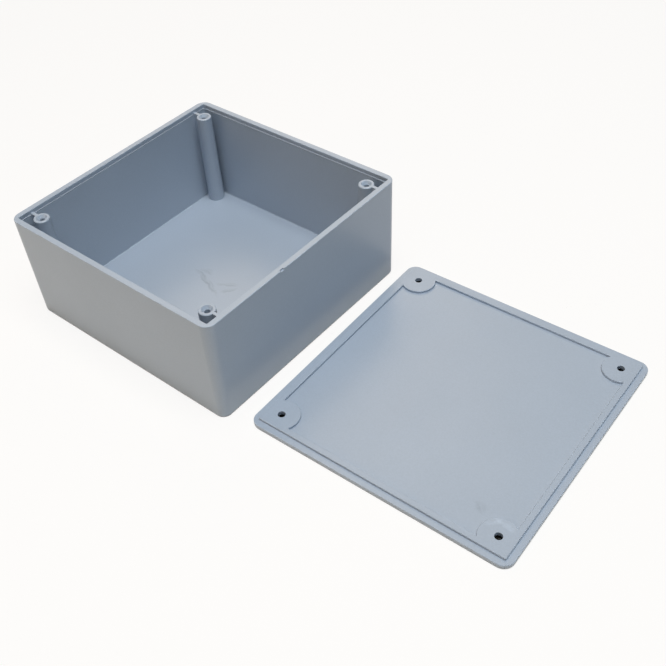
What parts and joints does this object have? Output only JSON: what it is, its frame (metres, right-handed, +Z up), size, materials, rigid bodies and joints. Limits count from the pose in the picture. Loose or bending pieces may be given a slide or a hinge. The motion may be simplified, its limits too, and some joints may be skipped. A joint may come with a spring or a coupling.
{
  "type": "plastic project box",
  "caption": "Square moulded enclosure for small circuits: an open base with hollow-topped screw pillars in its corners, and a flat lid with a raised tongue ring lying beside it, inner face up.",
  "frame": {"origin": "centre of the base's flat underside", "axes": "+Z up, along the screw pillars towards the open mouth; +X from the base towards the lid that lies beside it; the base's side walls lie along X and Y"},
  "size_m": [0.2072, 0.1069, 0.0435],
  "materials": {
    "grey_abs": "satin moulded, light bluish grey"
  },
  "bodies": {
    "root": {"base": "grey_abs", "lid": "grey_abs"}
  },
  "joints": []
}
